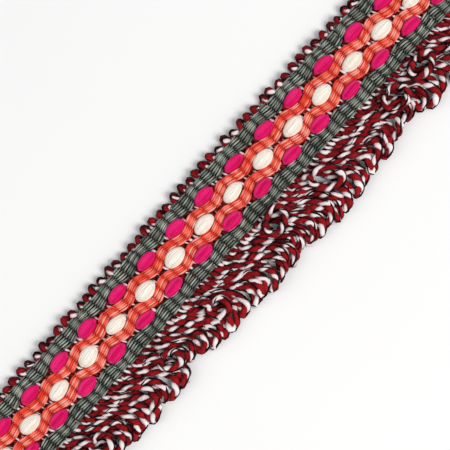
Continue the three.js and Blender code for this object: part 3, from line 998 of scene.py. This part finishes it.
def yarn_tint():
    """A group mixing a yarn's three shades by its tone, painted shade and light, and fibre streaks."""
    shades = {"Dark": None, "Middle": None, "Light": None}
    numbers = {"Streak": 0.5, "Streak share": 1.0, "Tone share": 0.3}
    tree, enter, leave = new_group("yarn tint", shades | numbers, "Color", "NodeSocketColor")
    tone_and_shading = tree.nodes.new("ShaderNodeAttribute")
    tone_and_shading.attribute_name = "tone_and_shading"
    centred = math_node(tree, "SUBTRACT", enter.outputs["Streak"], 0.5)
    streak = math_node(tree, "MULTIPLY", centred, enter.outputs["Streak share"])
    # The attribute holds the threads' own tone together with painted shade and painted light.
    thread = math_node(tree, "MULTIPLY", tone_and_shading.outputs["Fac"], enter.outputs["Tone share"])
    level = math_node(tree, "ADD", math_node(tree, "ADD", streak, thread), 0.5)
    lower = math_node(tree, "MULTIPLY", level, 2.0)
    upper = math_node(tree, "MULTIPLY", math_node(tree, "SUBTRACT", level, 0.5), 2.0)
    low = mix_node(tree, lower, enter.outputs["Dark"], enter.outputs["Middle"])
    high = mix_node(tree, upper, low, enter.outputs["Light"])
    tree.links.new(high, leave.inputs["Color"])
    return tree


FIBRES = twisted_fibres()
TINT = yarn_tint()


def new_material(name):
    """A new material, its node tree and its surface shader."""
    material = bpy.data.materials.new(name)
    material.use_nodes = True
    tree = material.node_tree
    return material, tree, tree.nodes["Principled BSDF"]


def yarn_material(name):
    """A soft spun yarn: fibre streaks in its colour and relief, and a light sheen."""
    dark, middle, light = (linear(*shade) for shade in YARN_SHADES[name])
    turns, fineness, stretch, streaks, tones, sheen = YARN_FIBRES[name]
    material, tree, surface = new_material(name)
    fibres = tree.nodes.new("ShaderNodeGroup")
    fibres.node_tree = FIBRES
    set_inputs(fibres, {"Turns per mm": turns, "Fineness": fineness, "Stretch": stretch})
    tint = tree.nodes.new("ShaderNodeGroup")
    tint.node_tree = TINT
    set_inputs(tint, {"Dark": dark, "Middle": middle, "Light": light})
    set_inputs(tint, {"Streak share": streaks, "Tone share": tones})
    tree.links.new(fibres.outputs["Streak"], tint.inputs["Streak"])
    tree.links.new(tint.outputs["Color"], surface.inputs["Base Color"])
    relief = tree.nodes.new("ShaderNodeBump")
    set_inputs(relief, YARN_RELIEF)
    tree.links.new(fibres.outputs["Streak"], relief.inputs["Height"])
    tree.links.new(relief.outputs["Normal"], surface.inputs["Normal"])
    set_inputs(surface, YARN_FINISH | {"Sheen Weight": sheen})
    return material


def floor_material():
    """A pale matt surface with a very faint unevenness."""
    material, tree, surface = new_material("pale surface")
    noise = tree.nodes.new("ShaderNodeTexNoise")
    set_inputs(noise, {"Scale": SURFACE_GRAIN})
    ramp = tree.nodes.new("ShaderNodeValToRGB")
    ramp.color_ramp.elements[0].color = linear(250, 250, 250)
    ramp.color_ramp.elements[1].color = linear(255, 255, 255)
    tree.links.new(noise.outputs["Fac"], ramp.inputs[0])
    tree.links.new(ramp.outputs[0], surface.inputs["Base Color"])
    set_inputs(surface, SURFACE_FINISH)
    return material


# The dark ground under the grey bands and the floats is partly the darker yarn beneath and partly painted
# shade.
def ground_tone(along, across):
    """1 under the coral bands, -1 under the grey ones and 0 where the float yarns lie."""
    tone_and_shading = np.zeros(along.shape)
    for yarn, value in (("coral", 1.0), ("grey", -1.0)):
        for group in groups_of(yarn):
            inside = (across < group_line(group, along)) & (across > group_line(group + 1, along))
            tone_and_shading[inside] = value
    return tone_and_shading


def woven_ground():
    """The thin ribbed body of the cloth between its threads, as one closed sheet."""
    along = np.linspace(-LENGTH / 2, LENGTH / 2, WARP_STEPS_PER_RIB * RIB_COUNT + 1)
    edges = (PICOT_SIDE_EDGE - GROUND_INSET, FRINGE_SIDE_EDGE + GROUND_INSET)
    across = np.linspace(*edges, GROUND_COLUMNS)
    grid = np.meshgrid(along, across, indexing="ij")
    crown = np.tanh(WARP_STEEPNESS * np.abs(np.sin(math.pi * along / RIB_PITCH)))[:, None]
    half = (GROUND_VALLEY + WARP_LIFT * crown) * np.abs(ground_tone(grid[0], grid[1])) + GROUND_THIN
    upper = CLOTH_MIDDLE - GROUND_THIN + half
    lower = CLOTH_MIDDLE - GROUND_THIN - half
    outline = [np.stack([*grid, upper], -1), np.stack([*grid, lower], -1)[:, ::-1]]
    rings = np.concatenate(outline, 1)
    stations, sides = rings.shape[:2]
    number = np.arange(stations * sides).reshape(stations, sides)
    near, far = number[:-1], number[1:]
    quads = np.stack([near, far, np.roll(far, -1, 1), np.roll(near, -1, 1)], -1).reshape(-1, 4)
    ends = np.concatenate([number[0], number[-1, ::-1]])
    corners = np.concatenate([quads.ravel(), ends])
    flat = rings.reshape(-1, 3)
    return {
        "points": flat,
        "corners": corners,
        "sizes": np.concatenate([np.full(len(quads), 4), np.full(2, sides)]),
        "uv": flat[corners][:, [1, 0]] * GROUND_UV,
        "tone_and_shading": ground_tone(flat[:, 0], flat[:, 1]),
    }


def area_light(name, make):
    """A soft square light that points at the origin."""
    lamp = bpy.data.lights.new(name, "AREA")
    lamp.energy = make["power"]
    lamp.size = make["size"]
    lamp.color = make["colour"]
    light = put_in_scene(name, lamp)
    light.location = make["place"]
    light.rotation_euler = (-Vector(make["place"])).to_track_quat("-Z", "Y").to_euler()


def studio():
    """Soft light from the fringe side and above, and a pale surface."""
    for name, make in LIGHTS.items():
        area_light(name, make)
    world = bpy.data.worlds.new("studio")
    bpy.context.scene.world = world
    world.use_nodes = True
    set_inputs(world.node_tree.nodes["Background"], {"Color": (1, 1, 1, 1), "Strength": AIR_LIGHT})
    bpy.context.scene.view_settings.view_transform = "Standard"
    mesh = bpy.data.meshes.new("surface")
    half = SURFACE_HALF
    corners = [(-half, -half, 0), (half, -half, 0), (half, half, 0), (-half, half, 0)]
    mesh.from_pydata(corners, [], [(0, 1, 2, 3)])
    mesh.materials.append(floor_material())
    floor = put_in_scene("surface", mesh)


def overhead_camera():
    """A camera straight above the stretch of ribbon that the photograph shows."""
    centre = lay(np.array(VIEW_CENTRE))
    camera = bpy.data.cameras.new("overhead")
    camera.lens = LENS
    camera.sensor_width = SENSOR
    camera.sensor_fit = "HORIZONTAL"
    eye = put_in_scene("overhead", camera)
    eye.location = (centre[0], centre[1], centre[2] + VIEW_WIDTH * MM * LENS / SENSOR)
    eye.rotation_euler = (0, 0, -VIEW_TURN)
    bpy.context.scene.camera = eye


def build_ribbon():
    """All pieces of the ribbon, among them the cloth's inside as one sheet."""
    looks = {name: yarn_material(name) for name in YARN_SHADES}
    ground = make_piece("woven_ground", [woven_ground()], looks["cloth inside"])
    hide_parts("woven_band")
    bands = {yarn: [warp_band(i, yarn) for i in groups_of(yarn)] for yarn in WARP}
    floats = {yarn: [part for i in groups_of(yarn) for part in float_yarn(i, yarn)] for yarn in FLOATS}
    pieces = [
        make_piece("warp_grey", bands["grey"], looks["grey warp"]),
        make_piece("warp_coral", bands["coral"], looks["coral warp"]),
        make_piece("float_magenta", floats["magenta"], looks["magenta float"]),
        make_piece("float_ivory", floats["ivory"], looks["ivory float"]),
    ]
    plies = weft_plies(weft_route(fringe_loops()))
    weft = make_piece("weft_red_ply", [plies["red"]], looks["red ply"])
    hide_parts("picot_edge", "loop_fringe")
    pieces.append(weft)
    pieces.append(make_piece("weft_white_ply", [plies["white"]], looks["white ply"]))
    pieces.append(make_piece("weft_black_thread", [plies["black"]], looks["black thread"]))


overhead_camera()
studio()
build_ribbon()
